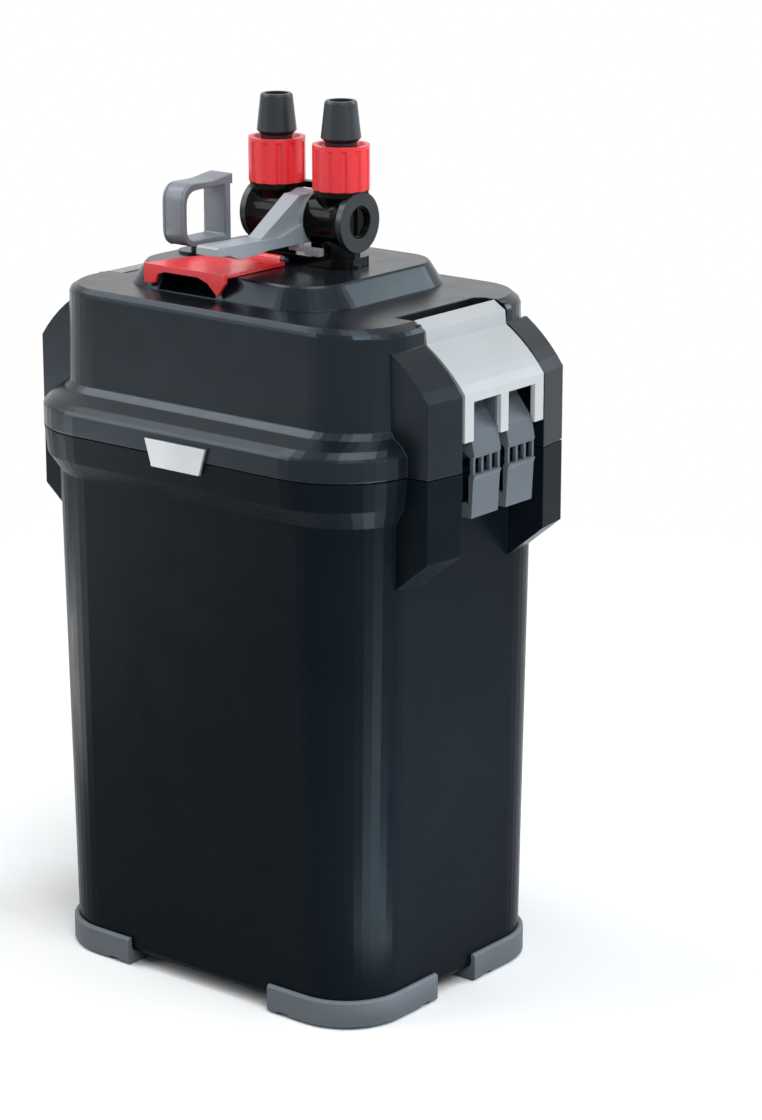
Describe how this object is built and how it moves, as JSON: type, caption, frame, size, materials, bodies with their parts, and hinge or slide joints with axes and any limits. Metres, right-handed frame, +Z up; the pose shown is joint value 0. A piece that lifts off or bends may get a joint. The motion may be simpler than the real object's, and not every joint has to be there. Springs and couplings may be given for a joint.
{
  "type": "canister filter",
  "caption": "Upright canister filter: tapered vessel with corner feet, domed lid with two side clamps, lift-off valve block with lever, two hose barbs, and a pull primer.",
  "frame": {"origin": "on the floor, under the middle of the canister's box in plan", "axes": "+Z up, +X to the right when facing the front, -Y towards the front, where the badge plate is"},
  "size_m": [0.2452, 0.1788, 0.42],
  "materials": {
    "vessel_plastic": "near-black blue-grey, semi-gloss moulded",
    "lid_plastic": "charcoal, fine matte moulded texture",
    "inner_plastic": "dark moulded",
    "panel_plastic": "light silver satin",
    "grey_plastic": "mid grey satin",
    "foot_rubber": "grey, soft",
    "red_plastic": "red, semi-gloss",
    "black_plastic": "black, glossy",
    "barb_plastic": "dark grey satin",
    "badge_metal": "satin silver",
    "basket_plastic": "dark moulded",
    "foam": "open-cell foam",
    "fine_floss": "white floss",
    "seal_rubber": "black, soft",
    "steel": "plain",
    "iron": "laminated",
    "copper": "enamelled windings",
    "ceramic": "smooth white",
    "magnet": "ferrite",
    "white_plastic": "off-white moulded"
  },
  "bodies": {
    "canister": {"vessel": "vessel_plastic", "foot_front_left": "foot_rubber", "foot_front_right": "foot_rubber", "foot_rear_left": "foot_rubber", "foot_rear_right": "foot_rubber", "basket_lower": "basket_plastic", "basket_middle": "basket_plastic", "basket_upper": "basket_plastic", "basket_cover": "basket_plastic", "bio_foam_lower": "foam", "bio_foam_middle": "foam", "fine_pad_upper": "fine_floss", "screen_frame": "basket_plastic", "screen_foam_outer": "foam", "screen_foam_inner": "foam"},
    "lid": {"lid_cover": "lid_plastic", "lid_base": "inner_plastic", "lid_seal": "seal_rubber", "base_screws": "steel", "badge_plate": "badge_metal", "cable_gland": "seal_rubber", "intake_duct": "inner_plastic", "motor_housing": "inner_plastic", "stator_core": "iron", "stator_coils": "copper", "impeller_shaft": "ceramic", "shaft_bushes": "seal_rubber", "pump_chamber": "inner_plastic", "primer_cylinder": "inner_plastic", "tab_pin": "steel", "clamp_pin_right": "steel", "clamp_pin_left": "steel"},
    "impeller": {"magnet_rotor": "magnet", "impeller": "white_plastic"},
    "clamp_right": {"clamp_panel_right": "panel_plastic", "clamp_hook_right": "grey_plastic"},
    "clamp_left": {"clamp_panel_left": "panel_plastic", "clamp_hook_left": "grey_plastic"},
    "release_tab": {"release_tab": "red_plastic"},
    "primer": {"primer_handle": "grey_plastic", "primer_rod": "grey_plastic", "primer_piston": "seal_rubber"},
    "valve": {"valve_body": "black_plastic", "valve_end_caps": "barb_plastic", "spigot_seals": "seal_rubber", "hose_barb_inlet": "barb_plastic", "hose_barb_outlet": "barb_plastic"},
    "lever": {"valve_lever": "grey_plastic", "valve_plug_inlet": "black_plastic", "valve_plug_outlet": "black_plastic"},
    "nut_inlet": {"lock_nut_inlet": "red_plastic"},
    "nut_outlet": {"lock_nut_outlet": "red_plastic"}
  },
  "joints": [
    {"name": "lid_lift", "type": "slide", "parent": "canister", "child": "lid", "axis": [0, 0, 1], "range_m": [0, 0.06]},
    {"name": "clamp_right_open", "type": "hinge", "parent": "lid", "child": "clamp_right", "pos_m": [0.0945, 0.004, 0.326], "axis": [0, -1, 0], "range_deg": [0, 70]},
    {"name": "clamp_left_open", "type": "hinge", "parent": "lid", "child": "clamp_left", "pos_m": [-0.0945, 0.004, 0.326], "axis": [0, 1, 0], "range_deg": [0, 70]},
    {"name": "impeller_spin", "type": "hinge", "parent": "lid", "child": "impeller", "pos_m": [0.062, -0.002, 0.27], "axis": [0, 0, 1], "continuous": true},
    {"name": "release_tab_lift", "type": "hinge", "parent": "lid", "child": "release_tab", "pos_m": [-0.02, -0.0035, 0.34474], "axis": [-1, 0, 0], "range_deg": [0, 9]},
    {"name": "primer_pull", "type": "slide", "parent": "lid", "child": "primer", "axis": [0, 0, 1], "range_m": [0, 0.04]},
    {"name": "valve_lift", "type": "slide", "parent": "lid", "child": "valve", "axis": [0, 0, 1], "range_m": [0, 0.035]},
    {"name": "lever_turn", "type": "hinge", "parent": "valve", "child": "lever", "pos_m": [0, 0.012, 0.364], "axis": [-1, 0, 0], "range_deg": [0, 50]},
    {"name": "nut_inlet_turn", "type": "hinge", "parent": "valve", "child": "nut_inlet", "pos_m": [-0.0196, 0.012, 0.388], "axis": [0, 0, 1], "continuous": true},
    {"name": "nut_outlet_turn", "type": "hinge", "parent": "valve", "child": "nut_outlet", "pos_m": [0.0196, 0.012, 0.388], "axis": [0, 0, 1], "continuous": true}
  ],
  "couplings": [
    {"joint": "clamp_right_open", "follows": "lid_lift", "rad_per_m": 20.36},
    {"joint": "clamp_left_open", "follows": "lid_lift", "rad_per_m": 20.36}
  ]
}
